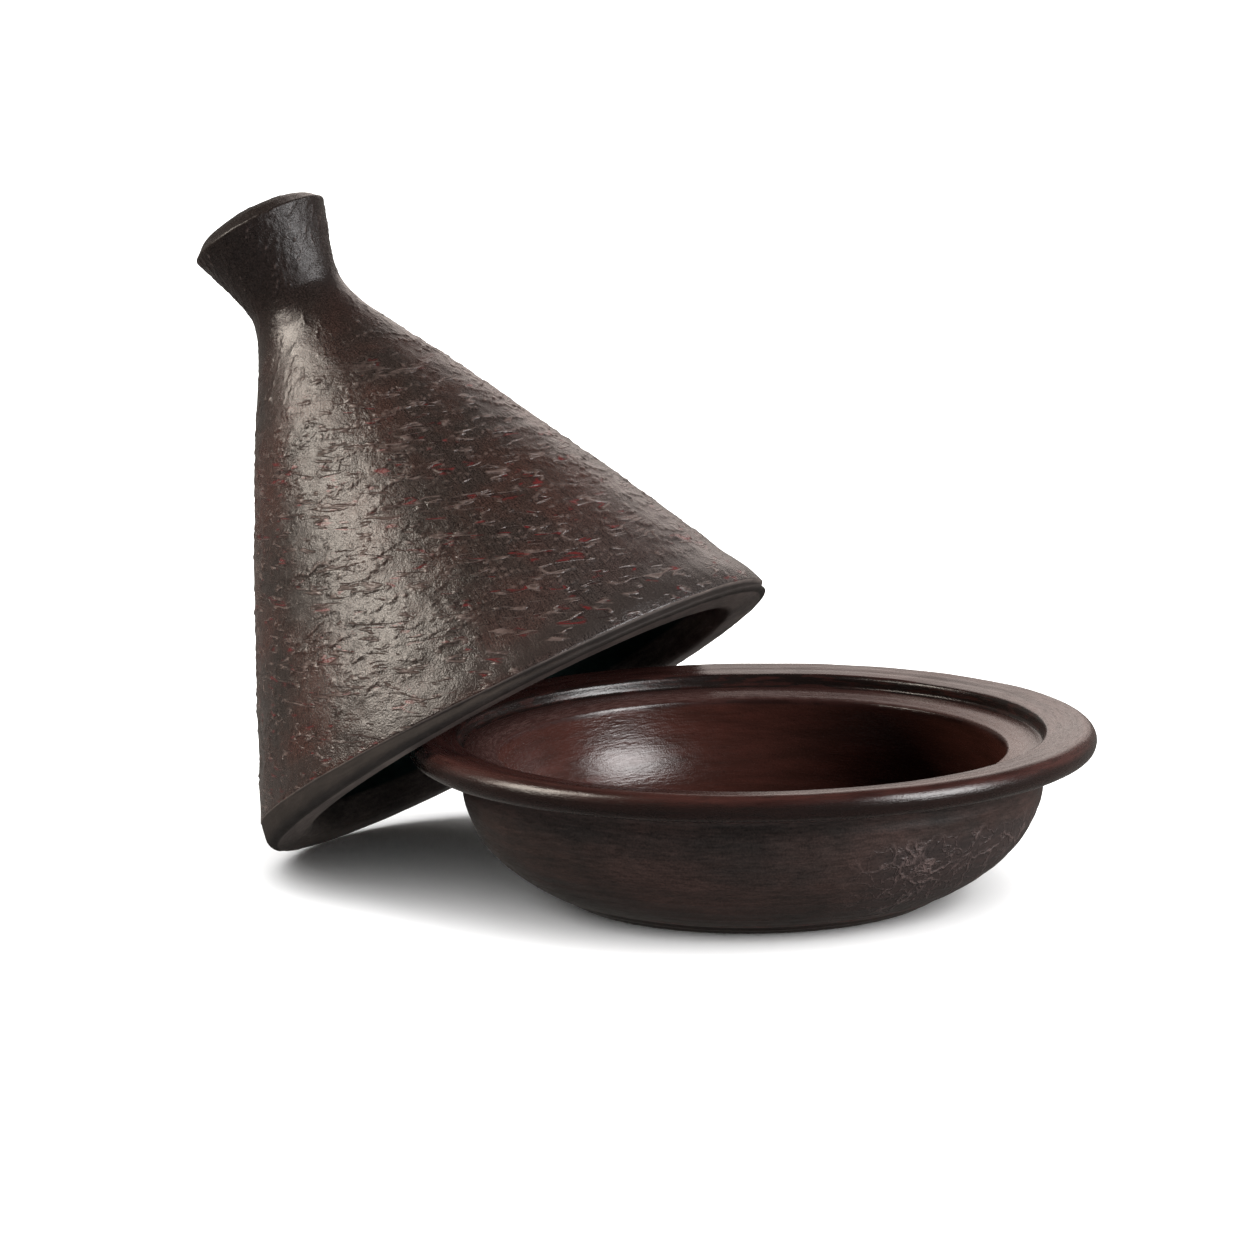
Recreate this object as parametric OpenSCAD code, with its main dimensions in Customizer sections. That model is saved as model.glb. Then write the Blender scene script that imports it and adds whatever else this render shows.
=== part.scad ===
// Clay tagine: a shallow round dish and its tall cone lid.  The lid leans on the
// dish, one edge on the table and its rim across the dish's rim.
// Millimetres, +Z up.  The origin is the centre of the dish's foot, on the table.
// The lid leans away along -X, so the whole set is mirrored about the XZ plane.

/* [Dish] */
// Outside diameter over the rim
dish_d = 280; // [180:1:360]
// Height from the foot to the top of the rim
dish_h = 69.7; // [45:0.1:100]
// Diameter of the flat foot
foot_d = 149; // [90:1:200]
// Thickness of the floor
floor_t = 8.5; // [6:0.5:14]
// Radius of the bead that edges the rim
bead_r = 5.6; // [3:0.1:9]
// Diameter inside the rim, which keeps the lid in place
rim_d = 238; // [150:1:320]
// Diameter of the bowl's mouth, at the inner edge of the lid's ledge
mouth_d = 206.4; // [120:0.1:300]
// Depth of the ledge's inner edge below the top of the rim
ledge_drop = 9; // [5:0.1:20]
// Largest diameter of the wall, just under the rim
wall_d = 237; // [150:1:320]

/* [Lid] */
// Outside diameter of the lid's rim
lid_d = 232; // [140:0.1:300]
// Diameter of the lid's opening
lid_open_d = 189.2; // [110:0.1:280]
// Height of the ridge around the lid's lower edge
ridge_h = 9.5; // [4:0.5:15]
// Height from the lid's lower face to the neck's narrowest ring
neck_h = 202; // [120:1:280]
// Diameter of the neck
neck_d = 41.6; // [20:0.1:80]
// Wall thickness of the cone, measured square to its axis
cone_t = 9; // [6:0.5:16]
// Thickness of solid clay between the hollow and the neck
crown_t = 24; // [12:1:60]

/* [Knob] */
// Height of the knob above the neck
knob_h = 34; // [18:0.5:60]
// Largest diameter of the knob, at its top edge
knob_d = 60; // [35:0.5:90]
// Rise of the domed top over the edge
dome_h = 8; // [2:0.5:16]

/* [Lean] */
// Angle that the lid leans back from upright
lean_deg = 32.06; // [20:0.01:45]
// Distance from the dish's axis to the centre of the lid's lower face
lean_reach = 111.2; // [90:0.1:140]
// Gap under the lid's lowest edge
table_gap = 0.4; // [0.2:0.1:1]

/* [Hidden] */
$fn = 96;
// segments in one curve of an outline
curve_n = 9;
arc_n = 6;
crown_n = 6;

// dish
dish_r = dish_d / 2;
foot_r = foot_d / 2;
rim_r = rim_d / 2;
mouth_r = mouth_d / 2;
wall_r = wall_d / 2;
bead_c = [dish_r - bead_r, dish_h - bead_r];
ledge_z = dish_h - ledge_drop;
rim_round = 1.4;          // rounding of the rim's inner top edge
rim_inner_drop = 1.8;     // how much lower the rim's inner edge is than its bead
ledge_round = 1.2;        // hollow corner at the ledge's outer side
ledge_inset = 0.6;        // how far the rim's inner side leans in at the ledge
mouth_round = 1.6;        // rounding of the ledge's inner edge
ledge_rise = 1.9;         // how much higher the ledge is at the rim than at the mouth
crown_h = 0.6;            // how far the ledge swells up between its two edges
foot_round = 1.2;         // rounding of the foot's edge
foot_edge = [foot_r + 1.6, 2.2];  // where the wall's curve starts, radius and height
foot_pull = [103.5, 13.5];        // pull points of the wall's curve
wall_pull = [117, 29];
wall_top = [wall_r, 48];          // where the wall is widest
rim_cove = [                      // cove and step between the wall and the rim
    [wall_r - 0.4, dish_h - 16.2],
    [wall_r, dish_h - 14],
    [wall_r + 3, dish_h - 12.6]
];
mouth_edge = [mouth_r - 0.4, ledge_z - 5];  // where the bowl's curve starts
bowl_pull = [101, 24];                      // pull points of the bowl's inside curve
bowl_flat = [82, floor_t];
bowl_floor = [40, floor_t];                 // where the curve meets the flat floor

// lid
lid_r = lid_d / 2;
open_r = lid_open_d / 2;
neck_r = neck_d / 2;
knob_r = knob_d / 2;
edge_round = 5;           // rounding of the opening's lower edge, which rests on the dish's rim
rim_edge_round = 3.5;     // rounding of the lid's outer lower edge
ridge_in = 1.4;           // how far the ridge stands inside the widest ring
band_h = 12;              // height of the thick band around the opening
band_slope_h = 10;        // height over which the band thins to the cone's wall
cone_low = [lid_r - 3.6, ridge_h + 4.5];
cone_pull_low = [91.2, 58];   // pull points of the cone's outside line
cone_pull_high = [58.9, 125];
shoulder = [33.9, 170];       // where the straight cone turns into the neck
neck_pull_low = [27.3, 182];
neck_pull_high = [20.8, 192];
hollow_top = neck_h - crown_t;
hollow_round = 12;            // rounding of the hollow's top
hollow_step = 16;             // height between two points of the hollow's outline
neck_start = 0.2;             // where the neck's curve starts, as a share of its first pull

// knob
flare_pull = [neck_r + 1.2, neck_h + 10];
lip_round = 1.6;
lip_z = neck_h + knob_h;
dome_top = [0, lip_z + dome_h];
dome_pull_top = [knob_r * 0.5, lip_z + dome_h];   // pull points of the domed top
dome_pull_edge = [knob_r * 0.86, lip_z + 5];
dome_edge = [knob_r - lip_round - 0.6, lip_z + 0.3];

// the rounded lower edge stands on the table
lid_edge = [lid_r - rim_edge_round, rim_edge_round];
lid_lift = lid_edge[0] * sin(lean_deg) - lid_edge[1] * cos(lean_deg) + rim_edge_round + table_gap;
lid_centre = [-lean_reach, 0, lid_lift];

function mix(a, b, t) = a + (b - a) * t;

// points along a curve that starts at a, ends at d and is pulled towards b and c
function curve(a, b, c, d, n = curve_n) = [
    for (i = [0 : n])
        let (t = i / n)
        mix(mix(mix(a, b, t), mix(b, c, t), t), mix(mix(b, c, t), mix(c, d, t), t), t)
];

// points on a circle about c, from angle a0 to angle a1
function arc(c, r, a0, a1, n = arc_n) = [
    for (i = [0 : n])
        let (a = mix(a0, a1, i / n))
        c + r * [cos(a), sin(a)]
];

function reversed(p) = [for (i = [len(p) - 1 : -1 : 0]) p[i]];

dish_outside = concat(
    arc([foot_r - foot_round, foot_round], foot_round, -90, -30, 3),
    curve(foot_edge, foot_pull, wall_pull, wall_top),
    rim_cove,
    arc(bead_c, bead_r, -80, 90, 10)
);

// where the ledge starts at the rim and ends at the mouth, and points across its swelling
ledge_out = [rim_r - ledge_round - ledge_inset, ledge_z + ledge_rise];
ledge_in = [mouth_r + mouth_round, ledge_z];
ledge_crown = [
    for (i = [1 : crown_n - 1])
        let (t = i / crown_n)
        mix(ledge_out, ledge_in, t) + [0, crown_h * sin(180 * t)]
];

dish_inside = concat(
    arc([rim_r + rim_round, dish_h - rim_round - rim_inner_drop], rim_round, 90, 180, 4),
    reversed(arc(ledge_out + [0, ledge_round], ledge_round, -90, 0, 3)),
    ledge_crown,
    arc(ledge_in - [0, mouth_round], mouth_round, 90, 180, 3),
    curve(mouth_edge, bowl_pull, bowl_flat, bowl_floor)
);

cone_line = curve(cone_low, cone_pull_low, cone_pull_high, shoulder, 10);

cone_outside = concat(
    arc(lid_edge, rim_edge_round, -90, 15, 5),
    [[lid_r - ridge_in, ridge_h]],
    cone_line,
    curve(mix(shoulder, neck_pull_low, neck_start), neck_pull_low, neck_pull_high, [neck_r, neck_h], 6)
);

// radius of the hollow at height h, one wall inside the cone's outside line
function hollow_r(h) = lookup(h, [for (p = cone_line) [p[1], p[0]]]) - cone_t;

hollow_h0 = band_h + band_slope_h;
hollow_h1 = hollow_top - hollow_round;

cone_inside = concat(
    arc([hollow_r(hollow_h1) - hollow_round, hollow_h1], hollow_round, 90, 10, 4),
    [for (h = [hollow_h1 : -hollow_step : hollow_h0 + hollow_step / 2]) [hollow_r(h), h]],
    [[hollow_r(hollow_h0), hollow_h0], [open_r, band_h]],
    arc([open_r + edge_round, edge_round], edge_round, 180, 270, 4)
);

knob_outside = concat(
    curve([neck_r, neck_h], flare_pull, mix(flare_pull, [knob_r, lip_z], 0.5), [knob_r, lip_z - lip_round], 7),
    arc([knob_r - lip_round, lip_z - lip_round], lip_round, 0, 75, 3),
    reversed(curve(dome_top, dome_pull_top, dome_pull_edge, dome_edge, 7))
);

// the dish, turned in one piece with its rim, ledge and foot
module dish() {
    color([0.30, 0.20, 0.17])
    rotate_extrude()
    polygon(concat([[0, 0]], dish_outside, dish_inside, [[0, floor_t]]));
}

// lays the lid's pieces down from upright to where they lean
module leaned() {
    translate(lid_centre)
    rotate([0, -lean_deg, 0])
    children();
}

// the hollow cone, up to the narrowest ring of the neck
module lid_cone() {
    color([0.26, 0.21, 0.19])
    leaned()
    rotate_extrude()
    polygon(concat(cone_outside, [[0, neck_h], [0, hollow_top]], cone_inside));
}

// the solid knob, joined to the cone with wet clay at the neck
module lid_knob() {
    color([0.34, 0.27, 0.24])
    leaned()
    rotate_extrude()
    polygon(concat([[0, neck_h]], knob_outside));
}

dish();
lid_cone();
lid_knob();
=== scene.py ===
import itertools
import math

import bpy
import numpy as np
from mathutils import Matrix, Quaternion, Vector


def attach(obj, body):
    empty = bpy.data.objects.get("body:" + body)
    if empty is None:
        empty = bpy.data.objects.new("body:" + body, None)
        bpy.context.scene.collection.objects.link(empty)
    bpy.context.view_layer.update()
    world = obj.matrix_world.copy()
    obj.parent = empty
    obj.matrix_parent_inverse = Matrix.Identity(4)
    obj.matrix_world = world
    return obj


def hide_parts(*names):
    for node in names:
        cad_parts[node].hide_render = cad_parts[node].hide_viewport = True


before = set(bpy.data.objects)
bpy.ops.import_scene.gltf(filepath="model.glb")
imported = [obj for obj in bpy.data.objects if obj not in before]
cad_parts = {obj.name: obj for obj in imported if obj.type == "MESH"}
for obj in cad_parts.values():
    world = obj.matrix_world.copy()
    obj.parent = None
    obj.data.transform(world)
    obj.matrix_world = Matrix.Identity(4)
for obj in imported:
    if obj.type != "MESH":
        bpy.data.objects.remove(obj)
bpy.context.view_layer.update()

MM = 0.001
FULL_TURN = 2 * np.pi
FLOW_R = 0.1  # radius in metres of the circle that stands for a turn in the flow coordinates

# ---------------------------------------------------------------- outline sizes, in millimetres
# The dish stands on the table with its axis on Z. The lid's sizes are taken with the lid upright.

# dish
DISH_R = 140
DISH_H = 69.7
FLOOR_T = 8.5
FOOT_R = 74.5
FOOT_ROUND = 1.2
FOOT_EDGE = (FOOT_R + 1.6, 2.2)  # where the wall's curve starts
FOOT_PULL = (103.5, 13.5)
WALL_PULL = (117, 29)
WALL_R = 118.5
WALL_TOP = (WALL_R, 48)  # where the wall is widest
COVE = [WALL_TOP, [WALL_R - 0.4, DISH_H - 16.2], [WALL_R, DISH_H - 14], [WALL_R + 3, DISH_H - 12.6]]
BEAD_R = 5.6
BEAD_CENTRE = (DISH_R - BEAD_R, DISH_H - BEAD_R)
RIM_R = 119
RIM_ROUND = 1.4
RIM_DROP = 1.8  # how much lower the rim's inner edge is than its bead
MOUTH_R = 103.2
MOUTH_ROUND = 1.6
LEDGE_Z = 60.7  # the ledge's height at the mouth
LEDGE_RISE = 1.9  # how much higher the ledge is at the rim
LEDGE_ROUND = 1.2  # hollow corner at the ledge's outer side
LEDGE_INSET = 0.6  # how far the rim's inner side leans in at the ledge
CROWN_H = 0.6  # how far the ledge swells up between its two edges
BOWL_EDGE = (MOUTH_R - 0.4, LEDGE_Z - 5)
BOWL_PULL = (101, 24)
BOWL_FLAT = (82, FLOOR_T)
BOWL_FLOOR = (40, FLOOR_T)

# lid
LID_R = 116
OPEN_R = 94.6
OPEN_ROUND = 5  # rounding of the opening's lower edge
BAND_H = 12  # height of the thick band round the opening
BAND_TOP = 22  # where the band has thinned to the cone's wall
RIM_EDGE = 3.5  # rounding of the lid's outer lower edge
LID_EDGE = (LID_R - RIM_EDGE, RIM_EDGE)
RIDGE_H = 9.5
RIDGE = (LID_R - 1.4, RIDGE_H)
CONE_LOW = (LID_R - 3.6, RIDGE_H + 4.5)
CONE_PULL_LOW = (91.2, 58)
CONE_PULL_HIGH = (58.9, 125)
SHOULDER = (33.9, 170)  # where the straight cone turns into the neck
NECK_PULL_LOW = (27.3, 182)
NECK_PULL_HIGH = (20.8, 192)
NECK_H = 202
NECK_R = 20.8
CONE_T = 9
HOLLOW_TOP = 178
HOLLOW_ROUND = 12
KNOB_H = 34
KNOB_R = 30
DOME_H = 8
LIP = 1.6
LIP_Z = NECK_H + KNOB_H
FLARE_START = (NECK_R + 0.2, NECK_H + 8)  # pull points of the knob's flared side
FLARE_PULL = np.array([NECK_R + 1.2, NECK_H + 10])
FLARE_EDGE = np.array([KNOB_R, LIP_Z])
SEAM = 0.08  # how far each of the lid's two pieces runs under the other's surface
SEAM_H = 3  # height over which it follows that surface
SEAM_END = 4  # where it turns in to the axis

# lean
LEAN = math.radians(32.06)
LEAN_REACH = 111.2
TABLE_GAP = 0.4
LID_LIFT = LID_EDGE[0] * math.sin(LEAN) - RIM_EDGE * math.cos(LEAN) + RIM_EDGE + TABLE_GAP


# ---------------------------------------------------------------- outlines
def bezier(a, b, c, d, n=60):
    """Points along a curve from a to d that is pulled towards b and c."""
    t = np.linspace(0, 1, n)[:, None]
    a, b, c, d = (np.array(p, float) for p in (a, b, c, d))
    return a * (1 - t) ** 3 + 3 * b * t * (1 - t) ** 2 + 3 * c * t * t * (1 - t) + d * t ** 3


def arc(centre, radius, start, end, n=24):
    """Points on a circle about centre, from the start angle to the end angle in degrees."""
    a = np.radians(np.linspace(start, end, n))
    return np.array(centre, float) + radius * np.stack([np.cos(a), np.sin(a)], -1)


def resample(points, spacing):
    """The polyline's points again, evenly spaced."""
    points = np.array(points, float)
    step = np.linalg.norm(np.diff(points, axis=0), axis=1)
    points = points[np.r_[True, step > 1e-6]]
    along = np.r_[0, np.cumsum(np.linalg.norm(np.diff(points, axis=0), axis=1))]
    count = max(2, int(round(along[-1] / spacing)) + 1)
    at = np.linspace(0, along[-1], count)
    return np.stack([np.interp(at, along, points[:, k]) for k in (0, 1)], -1)


class Outline:
    """A radius and height for each ring of a turned piece, with the name of the zone it lies in."""

    def __init__(self, parts):
        rings, zones = [], []
        for zone, points, spacing in parts:
            ring = resample(points, spacing)
            if rings:
                ring = ring[1:]
            rings.append(ring)
            zones += [zone] * len(ring)
        self.points = np.concatenate(rings)
        self.zones = np.array(zones)
        self.soften(2)
        step = np.linalg.norm(np.diff(self.points, axis=0), axis=1)
        self.s = np.r_[0, np.cumsum(step)]
        along = np.gradient(self.points, axis=0)
        along /= np.maximum(np.linalg.norm(along, axis=1, keepdims=True), 1e-9)
        self.normals = np.stack([along[:, 1], -along[:, 0]], -1)

    def soften(self, times):
        """Takes the sharpness off the corners between zones."""
        for _ in range(times):
            inner = self.points[1:-1]
            mean = (self.points[:-2] + 2 * inner + self.points[2:]) / 4
            self.points[1:-1] = mean

    def rows(self, *zones):
        """Which rings lie in any of the zones."""
        return np.isin(self.zones, zones)


def smooth(x):
    """From 0 at 0 to 1 at 1, level at both ends."""
    x = np.clip(x, 0, 1)
    return x * x * (3 - 2 * x)


def fade(x, low, high):
    """0 below low, 1 above high, smooth between them."""
    return smooth((x - low) / (high - low))


class Noise:
    """A smooth random field in space, the same on every run."""

    def __init__(self, seed, cells=40):
        self.lattice = np.random.default_rng(seed).uniform(-1, 1, (cells, cells, cells))

    def layer(self, q):
        """The lattice's values, blended between its points."""
        cell = np.floor(q).astype(int)
        part = smooth(q - cell)
        total = 0
        for corner in itertools.product((0, 1), repeat=3):
            weight = np.prod(np.where(corner, part, 1 - part), axis=-1)
            at = (cell + corner) % self.lattice.shape[0]
            total = total + weight * self.lattice[at[..., 0], at[..., 1], at[..., 2]]
        return total

    def __call__(self, points, size, octaves=1):
        """The field with lumps of a size, and in each further octave lumps half as large and as high."""
        total, gain = 0, 1.0
        for _ in range(octaves):
            total = total + gain * self.layer(points / size)
            size, gain = size / 2.03, gain / 2
        return total


# ---------------------------------------------------------------- marks in the clay
def turn_from(theta, centre):
    """The angle from a centre to theta, between minus and plus half a turn."""
    return (theta - centre + np.pi) % FULL_TURN - np.pi


def column(values):
    """One value for each outline ring, as a column that spreads round the piece."""
    return np.asarray(values, float)[:, None]


class Skin:
    """The surface of a turned piece, unrolled: rows follow the outline, columns go round it.

    All lengths are in millimetres. height raises the surface, ridge says where the raised crests are, which
    the lid's material paints light as wear and as a painted highlight, red says where the clay is stained,
    and shift moves the finished rings.
    """

    def __init__(self, outline, columns):
        self.outline = outline
        self.theta = np.arange(columns) * 2 * np.pi / columns
        self.shift = None
        self.r = np.maximum(outline.points[:, 0], 0)
        self.h = outline.points[:, 1]
        self.s = outline.s
        shape = (len(self.r), columns)
        self.height = np.zeros(shape)
        self.ridge = np.zeros(shape)
        self.red = np.zeros(shape)
        circle = np.stack([np.cos(self.theta), np.sin(self.theta)], -1)
        self.points = np.concatenate([
            self.r[:, None, None] * circle[None],
            np.broadcast_to(self.h[:, None, None], shape + (1,))], -1)

    def span(self, zone):
        """Where a zone starts and ends along the outline."""
        s = self.s[self.outline.rows(zone)]
        return s[0], s[-1]

    def patch(self, s0, theta0, reach):
        """The rows and columns within reach of a spot, and their distance from it up and round."""
        rows = np.nonzero(np.abs(self.s - s0) < reach)[0]
        radius = max(self.r[rows].mean(), 5)
        turn = turn_from(self.theta, theta0)
        columns = np.nonzero(np.abs(turn) * radius < reach)[0]
        up, round_ = np.meshgrid(self.s[rows] - s0, turn[columns] * radius, indexing="ij")
        return np.ix_(rows, columns), up, round_

    def stroke(self, rng, s0, theta0, length, tilt, width, rise, red=0.0, step=2.2, wave=0.06):
        """One raised scratch: a wavy line with a steep lower side and an upper side step times as wide."""
        tilt = math.radians(tilt)
        cells, up, round_ = self.patch(s0, theta0, length / 2 + 4 * width * step)
        u = round_ * math.cos(tilt) + up * math.sin(tilt)
        v = up * math.cos(tilt) - round_ * math.sin(tilt)
        phase = rng.uniform(0, FULL_TURN, 4)
        line = length * wave * np.sin(u * rng.uniform(0.5, 1.1) + phase[0])
        line = line + 0.25 * width * np.sin(u * 2.9 + phase[1])
        line = line + rng.uniform(-0.9, 0.9) * u * u / max(length, 6)
        across = v - line
        ends = np.clip(1 - (2 * u / length) ** 2, 0, 1) ** 0.7
        broken = 0.72 + 0.28 * np.sin(u * rng.uniform(1.2, 2.6) + phase[2])
        side = np.where(across > 0, width * step, width)
        crest = ends * broken * np.exp(-(across / side) ** 2)
        self.height[cells] = np.maximum(self.height[cells], rise * crest)
        self.ridge[cells] = np.maximum(self.ridge[cells], crest * min(1, rise / 0.45))
        if red:
            below = np.exp(-((across + 0.9 * width) / (0.9 * width)) ** 2)
            spot = 0.45 + 0.55 * np.sin(u * 5.5 / max(length, 4) + phase[3])
            self.red[cells] = np.maximum(self.red[cells], red * ends * below * np.clip(spot, 0, 1))

    def spot(self, s0, theta0, radius, rise):
        """A round pimple, or a pit where rise is below 0."""
        cells, up, round_ = self.patch(s0, theta0, radius * 3)
        bump = np.exp(-((up ** 2 + round_ ** 2) / radius ** 2) ** 1.5)
        self.height[cells] += rise * bump
        self.ridge[cells] = np.maximum(self.ridge[cells], bump * (rise > 0) * 0.8)


def lathe(name, skin, place, marks, zones, second=()):
    """A closed turned mesh from a skin: outline rings with one pole at each end.

    marks and zones are stored as colours for the materials. The outline's zones named in second take
    the piece's second material.
    """
    outline = skin.outline
    n = outline.normals
    r = skin.r[:, None] + skin.height * n[:, 0:1]
    h = skin.h[:, None] + skin.height * n[:, 1:2]
    if skin.shift:
        r, h = skin.shift(r, h)
    c, s = np.cos(skin.theta), np.sin(skin.theta)
    grid = np.stack([r * c, r * s, h + 0 * c], -1)
    rows, columns = r.shape
    body = grid[1:-1].reshape(-1, 3)
    poles = np.array([[0, 0, h[0].mean()], [0, 0, h[-1].mean()]])
    points = place(np.concatenate([body, poles])) * MM

    ring = np.arange(rows - 3)[:, None] * columns
    here = np.arange(columns)[None]
    next_ = (here + 1) % columns
    quads = np.stack([ring + here, ring + next_, ring + columns + next_, ring + columns + here], -1)
    quads = quads.reshape(-1, 4)
    first, last = len(body), len(body) + 1
    here, next_ = here[0], next_[0]
    top = (rows - 3) * columns
    fans = np.concatenate([
        np.stack([np.full(columns, first), next_, here], -1),
        np.stack([np.full(columns, last), top + here, top + next_], -1)])
    mesh = bpy.data.meshes.new(name)
    corners = np.concatenate([quads.ravel(), fans.ravel()])
    sizes = np.concatenate([np.full(len(quads), 4), np.full(len(fans), 3)])
    mesh.vertices.add(len(points))
    mesh.vertices.foreach_set("co", points.astype(np.float32).ravel())
    mesh.loops.add(len(corners))
    mesh.loops.foreach_set("vertex_index", corners.astype(np.int32))
    mesh.polygons.add(len(sizes))
    mesh.polygons.foreach_set("loop_start", np.r_[0, np.cumsum(sizes)[:-1]].astype(np.int32))
    mesh.polygons.foreach_set("use_smooth", np.ones(len(sizes), bool))
    other = outline.rows(*second)[1:-1].astype(np.int32)
    slots = [np.repeat(other[:-1], columns), np.full(columns, other[0]), np.full(columns, other[-1])]
    mesh.polygons.foreach_set("material_index", np.concatenate(slots).astype(np.int32))
    mesh.update(calc_edges=True)
    mesh.validate()

    def to_points(field):
        field = np.broadcast_to(field, (rows, columns) + np.shape(field)[2:])
        flat = field[1:-1].reshape((-1,) + field.shape[2:])
        return np.concatenate([flat, field[:1].mean(1), field[-1:].mean(1)])

    for label, channels in (("marks", marks), ("zones", zones)):
        layer = mesh.color_attributes.new(label, "FLOAT_COLOR", "POINT")
        values = np.ones((len(points), 4), np.float32)
        for k, channel in enumerate(channels):
            values[:, k] = np.clip(to_points(channel), 0, 1)
        layer.data.foreach_set("color", values.ravel())
    # coordinates that follow the turning: a circle round the piece, and the way along its outline
    flow = np.stack([
        np.broadcast_to(c * FLOW_R, (rows, columns)),
        np.broadcast_to(s * FLOW_R, (rows, columns)),
        np.broadcast_to(skin.s[:, None] * MM, (rows, columns))], -1)
    layer = mesh.attributes.new("flow", "FLOAT_VECTOR", "POINT")
    layer.data.foreach_set("vector", to_points(flow).astype(np.float32).ravel())

    piece = bpy.data.objects.new(name, mesh)
    bpy.context.scene.collection.objects.link(piece)
    return piece


def upright(points):
    return points


def leaned(points):
    """From the lid's own frame, where it stands upright, to where it leans on the dish."""
    c, s = math.cos(LEAN), math.sin(LEAN)
    x, y, z = points[..., 0], points[..., 1], points[..., 2]
    return np.stack([x * c - z * s - LEAN_REACH, y, x * s + z * c + LID_LIFT], -1)


# ---------------------------------------------------------------- lid
# seeds of the random fields and draws
LID_COARSE = 11
LID_FINE = 12
CONE_DRAWS = 7
KNOB_DRAWS = 19

# how many columns each piece has round its axis
CONE_COLUMNS = 640
KNOB_COLUMNS = 320

# how many marks of each kind
CONE_SCRATCHES = 950
CONE_STEPS = 400
CONE_CURLS = 150
CONE_SPOTS = 70
NECK_STREAKS = 260
FLARE_STREAKS = 300
DOME_SCRATCHES = 36
KNOB_SPOTS = 16

# the cone's departures from a true cone, in millimetres
BEVEL_TIP = 3.4  # height of the bevel under the ridge at the lid's highest point
BEVEL_GROWTH = 8.4  # how much higher it is at the lowest point
BLEND_H = 34  # height at which the ridge's move has faded out and the swell is complete
SWELL = 1.8
SWELL_SIDE = math.radians(-124)
FULLNESS = 3.2  # over the highest point of the edge
FULL_H = 15
FULL_REACH = 10


def cone_wall():
    """The cone's outside line, from the ridge to the neck's narrowest ring."""
    return np.concatenate([
        [RIDGE],
        bezier(CONE_LOW, CONE_PULL_LOW, CONE_PULL_HIGH, SHOULDER),
        bezier(SHOULDER, NECK_PULL_LOW, NECK_PULL_HIGH, (NECK_R, NECK_H), 40)[8:]])


def knob_flare():
    """The knob's outside line, from the neck's narrowest ring to the lip."""
    return bezier((NECK_R, NECK_H), FLARE_START, (FLARE_PULL + FLARE_EDGE) / 2, FLARE_EDGE - [0, LIP])


def lid_lumps(points):
    """The uneven surface that the cone and the knob share, so that they meet without a step at the neck."""
    coarse, fine = Noise(LID_COARSE), Noise(LID_FINE)
    return 0.55 * coarse(points, 38, 2) + 0.20 * coarse(points + 300, 9, 2) + 0.07 * fine(points, 2.2)


def cone_outline():
    """From the top of the hollow down the inside, round the lower edge and up the outside to the neck."""
    wall = cone_wall()
    round_start = HOLLOW_TOP - HOLLOW_ROUND

    def hollow_r(h):
        return np.interp(h, wall[:, 1], wall[:, 0]) - CONE_T

    heights = np.linspace(round_start, BAND_TOP, 24)
    hollow = np.concatenate([
        [[0, HOLLOW_TOP]],
        arc((hollow_r(round_start) - HOLLOW_ROUND, round_start), HOLLOW_ROUND, 90, 10),
        np.stack([hollow_r(heights), heights], -1),
        [[OPEN_R, BAND_H]]])
    mouth = np.concatenate([
        [[OPEN_R, BAND_H]],
        arc((OPEN_R + OPEN_ROUND, OPEN_ROUND), OPEN_ROUND, 180, 270),
        [[LID_EDGE[0], 0]]])
    bevel = np.concatenate([arc(LID_EDGE, RIM_EDGE, -90, 15), [RIDGE]])
    # the cone runs on inside the knob, just under its surface
    flare = knob_flare()
    hidden = flare[flare[:, 1] < NECK_H + SEAM_H] - [SEAM, 0]
    end = NECK_H + SEAM_END
    joint = np.concatenate([[[NECK_R, NECK_H]], hidden[2:], [[NECK_R - SEAM_END, end], [0, end]]])
    return Outline([
        ("hollow", hollow, 3.0),
        ("mouth", mouth, 1.0),
        ("bevel", bevel, 0.8),
        ("wall", wall, 0.6),
        ("joint", joint, 0.8)])


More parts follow.
